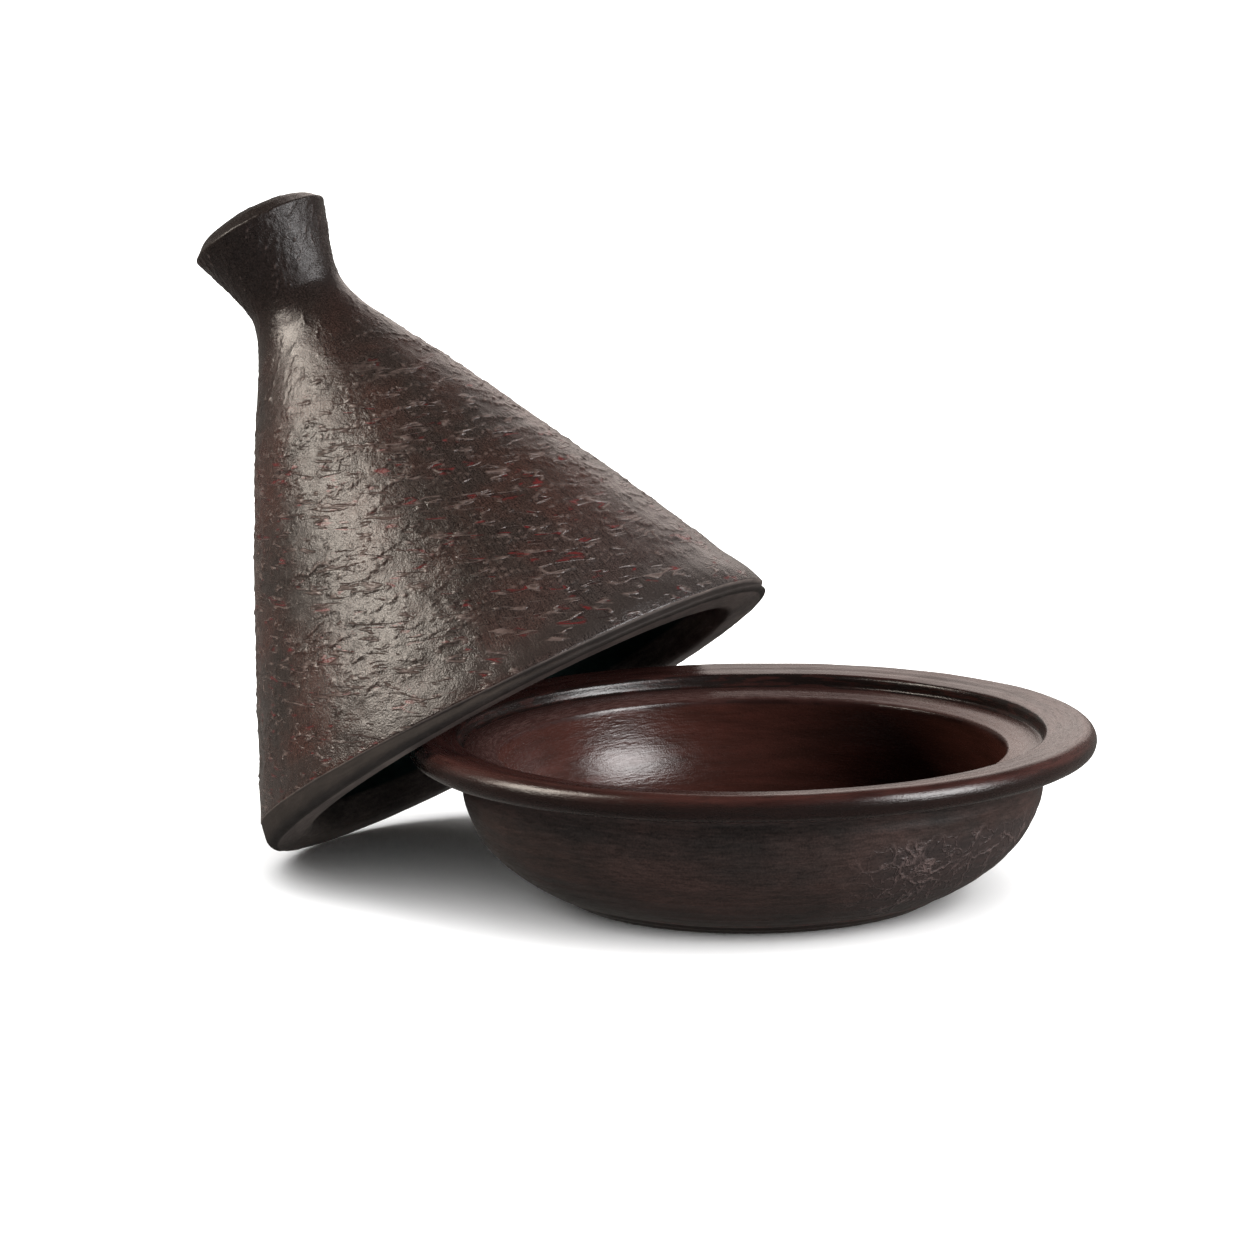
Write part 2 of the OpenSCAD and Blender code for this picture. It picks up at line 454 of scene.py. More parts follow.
def scratch_cone(skin, rng):
    """Covers the cone's wall with raised scratches, steps, curls, pimples and pits."""
    s0, s1 = skin.span("wall")
    span = s1 - s0

    def place_on_wall(low, high):
        """A random spot on the wall, evenly spread over its area, and how far up it is."""
        while True:
            t = rng.uniform(low, high)
            r = np.interp(s0 + t * span, skin.s, skin.r)
            if rng.uniform(0, LID_R) < r:
                return s0 + t * span, rng.uniform(0, FULL_TURN), t

    # short raised scratches all round, fewer near the neck
    for _ in range(CONE_SCRATCHES):
        s, theta, t = place_on_wall(0.075, 0.93)
        if rng.uniform() < fade(t, 0.55, 1.0) * 0.75:
            continue
        length = float(np.clip(rng.lognormal(math.log(6.0), 0.5), 2.5, 19))
        skin.stroke(
            rng, s, theta, length, tilt=rng.normal(-12, 13),
            width=rng.uniform(0.40, 0.66), rise=rng.uniform(0.25, 0.72),
            red=rng.uniform(0.2, 1.0) * (rng.uniform() < 0.7), wave=rng.uniform(0.01, 0.06))
    # long thin steps, most of them towards the side that faces up
    for _ in range(CONE_STEPS):
        s, theta, _ = place_on_wall(0.08, 0.8)
        turn = abs(turn_from(theta, math.radians(10)))
        if rng.uniform() < fade(turn, 0.7, 2.2) * 0.75:
            continue
        skin.stroke(
            rng, s, theta, length=rng.uniform(12, 42), tilt=rng.normal(-8, 6),
            width=rng.uniform(0.35, 0.5), rise=rng.uniform(0.25, 0.55), step=rng.uniform(3, 6),
            red=0.5 * (rng.uniform() < 0.35), wave=rng.uniform(0.01, 0.03))
    # curls and dabs
    for _ in range(CONE_CURLS):
        s, theta, _ = place_on_wall(0.08, 0.85)
        skin.stroke(
            rng, s, theta, length=rng.uniform(2.2, 5), tilt=rng.uniform(-70, 70),
            width=rng.uniform(0.5, 0.9), rise=rng.uniform(0.3, 0.7), red=rng.uniform(0, 1), wave=0.1)
    for _ in range(CONE_SPOTS):
        s, theta, _ = place_on_wall(0.07, 0.95)
        skin.spot(s, theta, radius=rng.uniform(0.6, 1.2), rise=rng.choice([-0.45, 0.4]))
    # fine slanting streaks near the neck
    for _ in range(NECK_STREAKS):
        s, theta, _ = place_on_wall(0.66, 0.99)
        skin.stroke(
            rng, s, theta, length=rng.uniform(4, 13), tilt=rng.normal(52, 12),
            width=0.45, rise=rng.uniform(0.12, 0.32), wave=0.02)


def cone_shift(skin):
    """A function that moves the rings of a true cone to where the hand-made one has them."""
    wall = skin.outline.rows("wall")
    edge = np.interp(skin.h, [0, RIDGE_H, BLEND_H], [0, 1, 0]) * skin.outline.rows("wall", "bevel")
    swell = fade(skin.h, 4, BLEND_H) * (1 - fade(skin.h, 150, 196)) * wall
    full = np.exp(-((skin.h - FULL_H) / FULL_REACH) ** 2) * wall
    # the bevel under the ridge is high at the lowest edge and low at the tip
    crease = BEVEL_TIP + BEVEL_GROWTH * smooth((1 - np.cos(skin.theta)) / 2)
    # the cone swells a little on one side at mid height, and is fuller just above its highest edge
    swell_round = SWELL * np.clip(np.cos(skin.theta - SWELL_SIDE), 0, 1)
    full_round = FULLNESS * ((1 + np.cos(skin.theta)) / 2) ** 3

    def shift(r, h):
        h = h + edge[:, None] * (crease[None] - RIDGE_H)
        r = r + swell[:, None] * swell_round[None]
        r = r + full[:, None] * full_round[None]
        return r, h

    return shift


def make_cone():
    outline = cone_outline()
    skin = Skin(outline, CONE_COLUMNS)
    scratch_cone(skin, np.random.default_rng(CONE_DRAWS))

    s0, s1 = skin.span("wall")
    up = np.clip((skin.s - s0) / (s1 - s0), 0, 1)
    wall = column(outline.rows("wall"))
    bevel = column(outline.rows("bevel"))
    mouth = column(outline.rows("mouth"))
    hollow = column(outline.rows("hollow"))
    # the scratches fade out towards the ridge, where a beaten band runs round
    away = column(fade(skin.s - s0, 0, 14))
    band = column(1 - fade(skin.s - s0, 9.5, 13.5)) * wall
    coarse, fine = Noise(LID_COARSE), Noise(LID_FINE)
    beaten = 0.22 * fine(skin.points * [1, 1, 0.6] + 90, 5, 2) * band
    skin.height = skin.height * away * wall
    lumps = lid_lumps(skin.points) * (0.25 + 0.75 * away)
    skin.height += (lumps + beaten) * column(outline.rows("wall", "joint"))
    skin.height += 0.16 * fine(skin.points, 6, 2) * bevel
    outer_mouth = column(fade(skin.r, OPEN_R + 3, OPEN_R + 8))
    skin.height += 0.12 * coarse(skin.points + 50, 14, 2) * mouth * outer_mouth
    skin.height += 0.30 * coarse(skin.points, 16, 2) * hollow
    skin.shift = cone_shift(skin)

    light_band = column(fade(skin.s - s0, 1.0, 3.0)) * band
    marks = (skin.ridge * away * wall, skin.red * away * wall, light_band)
    zones = (column(up), hollow, bevel)
    piece = lathe("clay_cone", skin, leaned, marks, zones, second=("hollow", "mouth", "bevel"))
    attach(piece, "lid")
    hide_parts("lid_cone")
    return piece


def knob_outline():
    """From inside the cone's neck up the flared side and over the domed top."""
    # the knob runs on inside the cone, just under its surface
    neck = cone_wall()
    hidden = neck[neck[:, 1] > NECK_H - SEAM_H] - [SEAM, 0]
    end = NECK_H - SEAM_END
    joint = np.concatenate([[[0, end], [NECK_R - SEAM_END, end]], hidden[:-2], [[NECK_R, NECK_H]]])
    lip = arc((KNOB_R - LIP, LIP_Z - LIP), LIP, 0, 75)
    top = LIP_Z + DOME_H
    dome_edge = (KNOB_R - LIP - 0.6, LIP_Z + 0.3)
    dome = bezier(dome_edge, (KNOB_R * 0.86, LIP_Z + 5), (KNOB_R * 0.5, top), (0, top))
    return Outline([
        ("joint", joint, 0.8),
        ("flare", knob_flare(), 0.6),
        ("lip", lip, 0.4),
        ("dome", dome, 0.8)])


def make_knob():
    outline = knob_outline()
    skin = Skin(outline, KNOB_COLUMNS)
    rng = np.random.default_rng(KNOB_DRAWS)
    flare_start, flare_end = skin.span("flare")
    dome_start, dome_end = skin.span("dome")
    for _ in range(FLARE_STREAKS):
        skin.stroke(
            rng, rng.uniform(flare_start + 2, flare_end - 1.5), rng.uniform(0, FULL_TURN),
            length=rng.uniform(3, 12), tilt=rng.normal(50, 14),
            width=0.42, rise=rng.uniform(0.15, 0.4), wave=0.02)
    for _ in range(DOME_SCRATCHES):
        skin.stroke(
            rng, rng.uniform(dome_start + 3, dome_end - 6), rng.uniform(0, FULL_TURN),
            length=rng.uniform(2, 7), tilt=rng.uniform(-40, 40),
            width=0.4, rise=rng.uniform(0.08, 0.25), wave=0.05)
    for _ in range(KNOB_SPOTS):
        skin.spot(
            rng.uniform(flare_start, dome_end - 5), rng.uniform(0, FULL_TURN),
            radius=rng.uniform(0.5, 0.9), rise=rng.choice([-0.3, 0.25]))
    skin.height += lid_lumps(skin.points)
    no_band = column(np.zeros(len(skin.s)))
    all_up = column(np.ones(len(skin.s)))
    piece = lathe("clay_knob", skin, leaned, marks=(skin.ridge, skin.red, no_band), zones=(all_up,))
    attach(piece, "lid")
    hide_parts("lid_knob")
    return piece


# ---------------------------------------------------------------- dish
DISH_COARSE = 41  # seeds of the random fields
DISH_FINE = 42
DISH_COLUMNS = 640
WEB_SIDE = math.radians(-3)  # where the web of raised cracks lies on the wall
WEB_FULL = math.radians(22)  # how far it reaches to each side at full strength, and in all
WEB_END = math.radians(42)


def dish_outline():
    """From the middle of the foot up the outside, over the rim and down into the bowl."""
    foot_edge = arc((FOOT_R - FOOT_ROUND, FOOT_ROUND), FOOT_ROUND, -90, -30)
    wall = np.concatenate([foot_edge, bezier(FOOT_EDGE, FOOT_PULL, WALL_PULL, WALL_TOP)])
    rim_edge = np.array([RIM_R + RIM_ROUND, DISH_H - RIM_DROP])
    rim = np.concatenate([arc(BEAD_CENTRE, BEAD_R, -80, 90), [rim_edge]])
    ledge_out = np.array([RIM_R - LEDGE_ROUND - LEDGE_INSET, LEDGE_Z + LEDGE_RISE])
    ledge_in = np.array([MOUTH_R + MOUTH_ROUND, LEDGE_Z])
    upstand = np.concatenate([
        arc(rim_edge - [0, RIM_ROUND], RIM_ROUND, 90, 180),
        arc(ledge_out + [0, LEDGE_ROUND], LEDGE_ROUND, 0, -90)])
    t = np.linspace(0, 1, 24)[:, None]
    crown = ledge_out + (ledge_in - ledge_out) * t + np.array([0, CROWN_H]) * np.sin(np.pi * t)
    ledge = np.concatenate([crown, arc(ledge_in - [0, MOUTH_ROUND], MOUTH_ROUND, 90, 180)])
    bowl = np.concatenate([
        ledge[-1:],
        bezier(BOWL_EDGE, BOWL_PULL, BOWL_FLAT, BOWL_FLOOR),
        [[0, FLOOR_T]]])
    return Outline([
        ("foot", [[0, 0.0], [FOOT_R - FOOT_ROUND, 0.0]], 4.0),
        ("wall", wall, 0.8),
        ("cove", np.concatenate([COVE, rim[:1]]), 0.6),
        ("rim", rim, 0.6),
        ("upstand", upstand, 0.6),
        ("ledge", ledge, 0.7),
        ("bowl", bowl, 1.6)])


def make_dish():
    outline = dish_outline()
    skin = Skin(outline, DISH_COLUMNS)
    wall = column(outline.rows("wall"))
    rim = column(outline.rows("rim"))
    ledge = column(outline.rows("ledge"))
    bowl = column(outline.rows("bowl"))
    outside = column(outline.rows("wall", "cove"))
    inner = column(outline.rows("upstand", "ledge"))
    s0, s1 = skin.span("wall")
    from_foot = column(skin.s - s0)

    # turning marks follow the rings, lumps don't
    coarse, fine = Noise(DISH_COARSE), Noise(DISH_FINE)
    ring = np.stack([np.zeros_like(skin.s), np.zeros_like(skin.s), skin.s], -1)
    flat_rings = np.broadcast_to(ring[:, None], skin.points.shape)
    swirl = flat_rings + skin.points * [0.02, 0.02, 0.0]
    turning = 0.16 * coarse(swirl, 4.5, 2) + 0.07 * fine(swirl + 20, 1.5)
    lumps = 0.35 * coarse(skin.points, 42, 2) + 0.10 * coarse(skin.points + 150, 12, 2)
    skin.height += (turning * 1.1 + lumps) * outside
    skin.height += (0.07 * coarse(swirl, 3, 2) + 0.22 * coarse(skin.points, 30, 2)) * rim
    skin.height += (0.10 * fine(swirl, 2.4, 2) + 0.08 * coarse(skin.points, 14)) * inner
    bowl_marks = 0.10 * coarse(swirl, 7, 2) + 0.25 * coarse(skin.points, 40)
    skin.height += bowl_marks * bowl * column(fade(skin.r, 6, 30))
    # a low roll round the foot, with a groove above it
    roll = 0.5 * np.exp(-((from_foot - 4.2) / 1.4) ** 2)
    groove = 0.5 * np.exp(-((from_foot - 7.6) / 1.5) ** 2)
    skin.height += (roll - groove) * wall
    # the foot stays flat on the table
    skin.height *= column(fade(skin.h, 0.4, 3.0))

    # a worn red edge under the rim and a reddish line over the foot
    foot_line = np.exp(-((from_foot - 10) / 1.6) ** 2) * wall
    rim_line = column(np.exp(-((skin.h - DISH_H + 12.5) / 1.3) ** 2)) * column(outline.rows("cove", "rim"))
    skin.red += foot_line + rim_line

    # the web's zone ends short of the foot and of the cove
    turn = np.abs(turn_from(skin.theta, WEB_SIDE))
    web_rows = fade(skin.s - s0, 8, 20) * (1 - fade(skin.s - s0, s1 - s0 - 10, s1 - s0 - 3))
    web_zone = (1 - fade(turn, WEB_FULL, WEB_END))[None] * wall * column(web_rows)
    # the rings run together at the middle of the bowl, so the marks fade out there
    even = column(fade(skin.r, 8, 26)) * bowl + column(outline.rows("rim", "ledge", "upstand"))
    # the ledge is made lighter, most near the mouth: partly wear, partly a painted highlight
    wear_and_highlight = column(fade(skin.r, MOUTH_R, MOUTH_R + 1.5) * (1 - 0.6 * fade(skin.r, MOUTH_R + 4, MOUTH_R + 14)))
    # the bead's lower side, which the rim's material darkens as painted shade
    bead_shade = column(fade(DISH_H - skin.h, 1.5, 5.0)) * rim
    marks = (web_zone + even, skin.red, wear_and_highlight * ledge)
    zones = (bowl, bead_shade, column(outline.rows("upstand")))
    piece = lathe("clay_dish", skin, upright, marks, zones, second=("foot", "wall", "cove"))
    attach(piece, "dish")
    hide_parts("dish")
    return piece


# ---------------------------------------------------------------- materials
# colours of the clay, linear
LID_DARK = (0.0125, 0.0092, 0.0080)
LID_BROWN = (0.0215, 0.0100, 0.0078)
LID_GREY = (0.0195, 0.0160, 0.0152)
LID_BAND = (0.017, 0.0135, 0.0122)
LID_PAINTED_SHADOW = (0.006, 0.003, 0.003)
LID_WEAR_AND_HIGHLIGHT = (0.082, 0.060, 0.054)
LID_STAIN = (0.082, 0.008, 0.009)
NECK_BLACK = (0.0060, 0.0042, 0.0038)
DRY_DARK = (0.042, 0.035, 0.032)
DRY_LIGHT = (0.070, 0.056, 0.050)
BEVEL_BLACK = (0.0070, 0.0056, 0.0050)
HOLLOW_GREEN = (0.0090, 0.0210, 0.0195)
WALL_DARK = (0.0132, 0.0096, 0.0086)
WALL_BROWN = (0.0250, 0.0142, 0.0120)
WEB_GREY = (0.014, 0.012, 0.012)
WEB_CRACK = (0.078, 0.054, 0.050)
WALL_STAIN = (0.060, 0.011, 0.009)
RIM_DARK = (0.0135, 0.0050, 0.0042)
RIM_RED = (0.0310, 0.0118, 0.0100)
RIM_LINE = (0.0090, 0.0042, 0.0035)
RIM_STAIN = (0.060, 0.014, 0.010)
BEAD_PAINTED_SHADE = (0.0050, 0.0036, 0.0032)
LEDGE_DARK = (0.036, 0.016, 0.014)
LEDGE_LIGHT = (0.062, 0.034, 0.030)
UPSTAND_DARK = (0.007, 0.005, 0.0045)
BOWL_DARK = (0.0215, 0.0076, 0.0056)
BOWL_RED = (0.0370, 0.0120, 0.0090)
BOWL_SPECK = (0.012, 0.0045, 0.0035)

LINE_TURN = math.radians(6)  # how far the lid's raised lines tilt from level
GREY_START = -0.085  # where the lid turns grey, along X in metres
GREY_FULL = -0.025
RING_SCALE = (0.16, 0.16, 1.0)  # draws a noise out along the turning
WEB_CELLS = ((18, 0.055, 1.0), (8, 0.060, 0.5))  # size in millimetres, width of the cracks, strength
WEB_DRIFT = 0.010  # how far the cracks wander, in metres
WEB_DRIFT_SCALE = 140.0


class Paint:
    """Builds one node material."""

    def __init__(self, name):
        self.material = bpy.data.materials.new(name)
        self.material.use_nodes = True
        self.tree = self.material.node_tree
        self.shader = self.tree.nodes["Principled BSDF"]
        self.at = self.node("TexCoord").outputs["Object"]
        self.flow = self.node("Attribute", attribute_name="flow").outputs["Vector"]

    def node(self, kind, inputs=None, **settings):
        n = self.tree.nodes.new("ShaderNode" + kind)
        for key, value in settings.items():
            setattr(n, key, value)
        for key, value in (inputs or {}).items():
            self.put(n.inputs[key], value)
        return n

    def put(self, socket, value):
        if isinstance(value, bpy.types.NodeSocket):
            self.tree.links.new(value, socket)
        else:
            socket.default_value = value

    def channels(self, attribute):
        """The three channels that the mesh carries under a name."""
        colour = self.node("Attribute", attribute_name=attribute).outputs["Color"]
        return self.node("SeparateColor", {0: colour}).outputs[:3]

    def noise(self, size_mm, detail, roughness, vector=None, distortion=0.0):
        """A noise with lumps of a size, in object space or along a vector."""
        n = self.node("TexNoise", {
            "Vector": self.at if vector is None else vector,
            "Scale": 1 / (size_mm * MM), "Detail": detail, "Roughness": roughness, "Distortion": distortion})
        return n.outputs["Fac"]

    def scaled(self, vector, scale):
        return self.node("Mapping", {"Vector": vector, "Scale": scale}).outputs[0]

    def turned(self, vector, angle):
        """The vector turned about the Y axis."""
        return self.node("Mapping", {"Vector": vector, "Rotation": (0, angle, 0)}).outputs[0]

    def line(self, value, level, width):
        """1 along the curves where a field passes through a level, 0 a width away from them."""
        off = self.math("ABSOLUTE", self.math("SUBTRACT", value, level))
        return self.ramp(off, 0.0, width, 1.0, 0.0)

    def math(self, operation, a, b=0.5):
        return self.node("Math", {0: a, 1: b}, operation=operation).outputs[0]

    def times(self, a, b):
        return self.math("MULTIPLY", a, b)

    def plus(self, a, b):
        return self.math("ADD", a, b)

    def ramp(self, value, low, high, out_low=0.0, out_high=1.0):
        """out_low where the value is below low, out_high where it is above high, straight between."""
        n = self.node("MapRange", {
            "Value": value, "From Min": low, "From Max": high, "To Min": out_low, "To Max": out_high})
        return n.outputs[0]

    def mix(self, factor, a, b, blend="MIX"):
        n = self.node("Mix", data_type="RGBA", blend_type=blend)
        self.put(n.inputs["Factor"], factor)
        for socket, value in ((n.inputs[6], a), (n.inputs[7], b)):
            self.put(socket, (*value, 1) if isinstance(value, tuple) else value)
        return n.outputs[2]

    def shaded(self, colour, value):
        """The colour times a grey value."""
        grey = self.node("CombineColor", {0: value, 1: value, 2: value}).outputs[0]
        return self.mix(1.0, colour, grey, "MULTIPLY")

    def bump(self, height, depth_mm, strength, normal=None):
        """A normal tilted by a height field, on top of the bumps in normal."""
        n = self.node("Bump", {"Strength": strength, "Distance": depth_mm * MM, "Height": height})
        if normal is not None:
            self.put(n.inputs["Normal"], normal)
        return n.outputs[0]

    def finish(self, colour, roughness, normal, specular):
        self.put(self.shader.inputs["Base Color"], colour)
        self.put(self.shader.inputs["Roughness"], roughness)
        self.put(self.shader.inputs["Normal"], normal)
        self.shader.inputs["Specular IOR Level"].default_value = specular
        return self.material


def lid_material(name, specular, neck_relief, dullness):
    """The lid's outside: smoked clay with raised lines, worn light and given a painted highlight on its
    scratches, with a painted shadow line beside each, and stained red.
    """
    p = Paint(name)
    ridge, red, band = p.channels("marks")
    up = p.channels("zones")[0]
    grain = p.noise(0.85, 2, 0.65)
    sand = p.noise(0.6, 2, 0.6)
    streak = p.noise(1.3, 3, 0.6, p.scaled(p.flow, (3.0, 3.0, 0.22)))
    cloud = p.noise(46, 3, 0.55)
    patch = p.noise(14, 3, 0.6)

    # hair-thin raised lines, tilted a little from the rings, with a painted highlight along each crest and a
    # painted shadow line beside it
    tilted = p.turned(p.at, LINE_TURN)
    field = p.noise(2.8, 1.5, 0.5, p.scaled(tilted, (0.15, 0.15, 1.0)), 0.35)
    broken = p.noise(4.5, 2.0, 0.5, p.scaled(tilted, (0.45, 0.45, 1.0)))
    below_neck = p.ramp(up, 0.66, 0.82, 1.0, 0.0)
    where = p.times(p.ramp(broken, 0.50, 0.58), below_neck)
    crest = p.times(p.line(field, 0.5, 0.048), where)
    # a painted shadow line beside each raised line; there is no groove in the surface here
    groove = p.times(p.line(field, 0.41, 0.055), where)

    # brown clouds, greyer towards +X and black at the neck
    tone = p.ramp(p.plus(cloud, p.times(patch, 0.35)), 0.58, 0.86)
    colour = p.mix(tone, LID_DARK, LID_BROWN)
    along = p.node("SeparateXYZ", {0: p.at}).outputs[0]
    colour = p.mix(p.ramp(along, GREY_START, GREY_FULL, 0.0, 0.85), colour, LID_GREY)
    colour = p.mix(p.ramp(up, 0.72, 1.0, 0, 0.75), colour, NECK_BLACK)
    speck = p.ramp(p.plus(sand, p.times(streak, 0.6)), 0.58, 1.02, 0.25, 2.1)
    colour = p.shaded(colour, speck)
    colour = p.mix(p.times(band, 0.6), colour, LID_BAND)
    # painted shadow: a dark line beside each raised line
    colour = p.mix(p.times(groove, 0.6), colour, LID_PAINTED_SHADOW)
    # lighter on the scratches' crests, partly wear and partly a painted highlight; the crest lines are
    # lightened as a painted highlight
    wear_and_highlight = p.times(p.ramp(ridge, 0.45, 0.95), p.ramp(patch, 0.3, 0.7, 0.3, 0.8))
    wear_and_highlight = p.math("MAXIMUM", wear_and_highlight, p.times(crest, 0.8))
    colour = p.mix(wear_and_highlight, colour, LID_WEAR_AND_HIGHLIGHT)
    blots = p.ramp(p.noise(2.0, 1.5, 0.5, p.scaled(tilted, (0.22, 0.22, 1.0))), 0.51, 0.60)
    stain = p.times(p.ramp(red, 0.45, 0.95), blots)
    stain = p.math("MAXIMUM", stain, p.times(groove, p.times(blots, 0.8)))
    colour = p.mix(stain, colour, LID_STAIN)

    rough = p.ramp(p.plus(grain, patch), 0.6, 1.4, 0.18 + dullness, 0.30 + dullness)
    calm = p.ramp(up, 0.74, 0.92, 1.0, neck_relief)
    normal = p.bump(p.noise(3.6, 3, 0.55), 0.16, p.times(calm, 0.8))
    normal = p.bump(streak, 0.10, p.times(calm, 0.7), normal)
    normal = p.bump(crest, 0.42, 1.0, normal)
    normal = p.bump(p.plus(grain, p.times(sand, 0.4)), 0.22, calm, normal)
    return p.finish(colour, rough, normal, specular)


def underside_material():
    """The lid's rim, opening and hollow: dry clay that is darkened by smoke."""
    p = Paint("lid_underside_look")
    hollow, bevel = p.channels("zones")[1:]
    rings = p.noise(1.4, 3, 0.6, p.scaled(p.flow, (0.2, 0.2, 1.0)))
    grain = p.noise(0.9, 3, 0.65)
    cloud = p.noise(22, 3, 0.55)
    colour = p.mix(p.ramp(cloud, 0.35, 0.65), DRY_DARK, DRY_LIGHT)
    colour = p.shaded(colour, p.ramp(p.plus(grain, rings), 0.7, 1.3, 0.6, 1.5))
    colour = p.mix(p.times(bevel, 0.85), colour, BEVEL_BLACK)
    colour = p.mix(hollow, colour, HOLLOW_GREEN)
    rough = p.ramp(grain, 0.3, 0.7, 0.62, 0.80)
    normal = p.bump(rings, 0.12, 0.7)
    normal = p.bump(grain, 0.16, 0.8, normal)
    return p.finish(colour, rough, normal, 0.12)


def raised_web(p, zone):
    """A web of raised cracks in two sizes, with edges that wander."""
    drift = p.node("TexNoise", {"Vector": p.at, "Scale": WEB_DRIFT_SCALE, "Detail": 3.0}).outputs["Color"]
    wander = p.mix(WEB_DRIFT, p.at, drift, "ADD")
    web = 0.0
    for cell_mm, width, strength in WEB_CELLS:
        scale = 1 / (cell_mm * MM)
        cells = p.node("TexVoronoi", {"Vector": wander, "Scale": scale}, feature="DISTANCE_TO_EDGE")
        edge = p.ramp(cells.outputs["Distance"], 0.0, width, strength, 0.0)
        web = p.math("MAXIMUM", web, edge)
    return p.times(web, zone)


def dish_fields(p):
    """The noises that both of the dish's materials use."""
    rings = p.scaled(p.flow, RING_SCALE)
    fine_rings = p.noise(0.9, 3, 0.6, rings)
    wide_rings = p.noise(4.5, 3, 0.6, rings)
    grain = p.noise(0.8, 3, 0.6)
    patch = p.noise(9, 3, 0.6)
    return fine_rings, wide_rings, grain, patch


def wall_material():
    """The outside of the dish: smoked clay with turning marks and, on one side, a web of raised cracks."""
    p = Paint("dish_wall_look")
    web_zone, red = p.channels("marks")[:2]
    fine_rings, wide_rings, grain, patch = dish_fields(p)
    cloud = p.noise(38, 3, 0.55)
    web = raised_web(p, p.times(web_zone, p.ramp(patch, 0.34, 0.52, 0.0, 1.0)))

    tone = p.ramp(p.plus(cloud, p.times(wide_rings, 0.5)), 0.6, 0.95)
    colour = p.mix(tone, WALL_DARK, WALL_BROWN)
    colour = p.shaded(colour, p.ramp(p.plus(grain, fine_rings), 0.7, 1.3, 0.55, 1.6))
    colour = p.mix(p.times(web_zone, 0.5), colour, WEB_GREY)
    colour = p.mix(p.times(web, 0.6), colour, WEB_CRACK)
    colour = p.mix(p.times(red, p.ramp(patch, 0.42, 0.58, 0.1, 0.8)), colour, WALL_STAIN)
    rough = p.ramp(fine_rings, 0.3, 0.7, 0.38, 0.54)
    normal = p.bump(wide_rings, 0.18, 0.6)
    normal = p.bump(fine_rings, 0.09, 0.8, normal)
    normal = p.bump(grain, 0.10, 0.8, normal)
    normal = p.bump(web, 1.0, 1.0, normal)
    return p.finish(colour, rough, normal, 0.12)


def dish_material():
    """The dish's rim, ledge and bowl: burnished clay, worn red on the rim, with painted shade under the bead
    and a ledge lightened by wear and a painted highlight.
    """
    p = Paint("dish_burnished_look")
    even, red, ledge = p.channels("marks")
    bowl, bead_shade, upstand = p.channels("zones")
    fine_rings, wide_rings, grain, patch = dish_fields(p)

    colour = p.mix(p.ramp(wide_rings, 0.35, 0.65), RIM_DARK, RIM_RED)
    colour = p.mix(p.ramp(fine_rings, 0.52, 0.66, 0.0, 0.6), colour, RIM_LINE)
    colour = p.mix(p.times(red, p.ramp(patch, 0.38, 0.55, 0.2, 0.9)), colour, RIM_STAIN)
    # painted shade on the lower side of the bead
    colour = p.mix(p.times(bead_shade, 0.85), colour, BEAD_PAINTED_SHADE)
    # the ledge made lighter: partly wear, partly a painted highlight
    colour = p.mix(ledge, colour, p.mix(p.ramp(fine_rings, 0.40, 0.60), LEDGE_DARK, LEDGE_LIGHT))
    # the upstand is darkened, with lighter streaks along the turning
    upstand_streaks = p.noise(1.6, 3, 0.6, p.scaled(p.flow, RING_SCALE))
    upstand_darkening = p.times(upstand, p.ramp(upstand_streaks, 0.50, 0.60, 0.9, 0.1))
    colour = p.mix(upstand_darkening, colour, UPSTAND_DARK)
    inside = p.mix(p.ramp(wide_rings, 0.3, 0.7), BOWL_DARK, BOWL_RED)
    inside = p.mix(p.ramp(grain, 0.56, 0.70, 0.0, 0.5), inside, BOWL_SPECK)
    colour = p.mix(bowl, colour, inside)
    rough = p.ramp(fine_rings, 0.3, 0.7, 0.19, 0.31)
    normal = p.bump(wide_rings, 0.14, p.times(even, 0.6))
    normal = p.bump(fine_rings, 0.10, p.times(even, 0.8), normal)
    normal = p.bump(grain, 0.10, 0.8, normal)
    brushed = p.noise(1.7, 2, 0.55, p.scaled(p.flow, (0.3, 0.3, 1.0)))
    normal = p.bump(brushed, 0.16, p.times(bowl, even), normal)
    return p.finish(colour, rough, normal, 0.22)


# ---------------------------------------------------------------- pieces
cone, knob, dish = make_cone(), make_knob(), make_dish()
cone.data.materials.append(lid_material("lid_clay_look", specular=0.27, neck_relief=0.6, dullness=0.0))
cone.data.materials.append(underside_material())
knob.data.materials.append(lid_material("knob_clay_look", specular=0.16, neck_relief=0.9, dullness=0.03))
dish.data.materials.append(dish_material())
dish.data.materials.append(wall_material())


# ---------------------------------------------------------------- stage
CAMERA_SIDE = -59.9  # where the camera stands, in degrees round from +X
BOX_DISTANCE = 2.4  # of the softboxes from the object, in metres
SUN_DISTANCE = 3  # where the suns' objects stand, which makes no difference to their light
AIM = Vector((0, 0, 0.1))  # the point the softboxes face
FLOOR_HALF = 30.0
FLOOR_WHITE = (0.93, 0.93, 0.93, 1)
WORLD_WHITE = (1.0, 0.93, 0.86, 1)
WARM_WHITE = (1.0, 0.90, 0.79)
NEAR_WHITE = (1.0, 0.99, 0.99)
ROSE_WHITE = (1.0, 0.86, 0.80)


def facing(direction):
    """The rotation of a lamp or camera that looks along a direction."""
    return Vector(direction).to_track_quat("-Z", "Y")


def bearing(turn, rise):
    """Unit vector towards a turn to the right of the camera's side and a rise over the floor, in degrees."""
    t = math.radians(CAMERA_SIDE + turn)
    e = math.radians(rise)
    return Vector((math.cos(t) * math.cos(e), math.sin(t) * math.cos(e), math.sin(e)))


